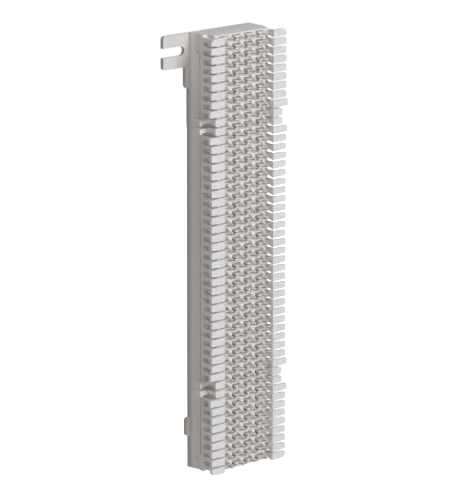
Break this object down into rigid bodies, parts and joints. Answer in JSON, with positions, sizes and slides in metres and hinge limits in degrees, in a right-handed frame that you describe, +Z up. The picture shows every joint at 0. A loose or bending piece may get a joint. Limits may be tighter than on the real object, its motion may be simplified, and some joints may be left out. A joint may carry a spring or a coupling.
{
  "type": "punch down wiring block",
  "caption": "Tall wall-mounted punch down wiring block with split quick clips between two slotted fanning strips, on a base with a fork ear at opposite corners.",
  "frame": {"origin": "centre of the mounting face, on the wall plane, halfway up and across the base", "axes": "+Z up along the rows, +X to the right seen from the front, +Y into the wall; the clips face -Y"},
  "size_m": [0.0874, 0.0262, 0.254],
  "materials": {
    "base_plastic": "fine matte",
    "front_plastic": "fine matte",
    "tinned_contact": "dull tin plating"
  },
  "bodies": {
    "root": {"rear_base": "base_plastic", "front_moulding": "front_plastic", "left_contacts_01": "tinned_contact", "left_contacts_02": "tinned_contact", "left_contacts_03": "tinned_contact", "left_contacts_04": "tinned_contact", "left_contacts_05": "tinned_contact", "left_contacts_06": "tinned_contact", "left_contacts_07": "tinned_contact", "left_contacts_08": "tinned_contact", "left_contacts_09": "tinned_contact", "left_contacts_10": "tinned_contact", "right_contacts_01": "tinned_contact", "right_contacts_02": "tinned_contact", "right_contacts_03": "tinned_contact", "right_contacts_04": "tinned_contact", "right_contacts_05": "tinned_contact", "right_contacts_06": "tinned_contact", "right_contacts_07": "tinned_contact", "right_contacts_08": "tinned_contact", "right_contacts_09": "tinned_contact", "right_contacts_10": "tinned_contact"}
  },
  "joints": []
}
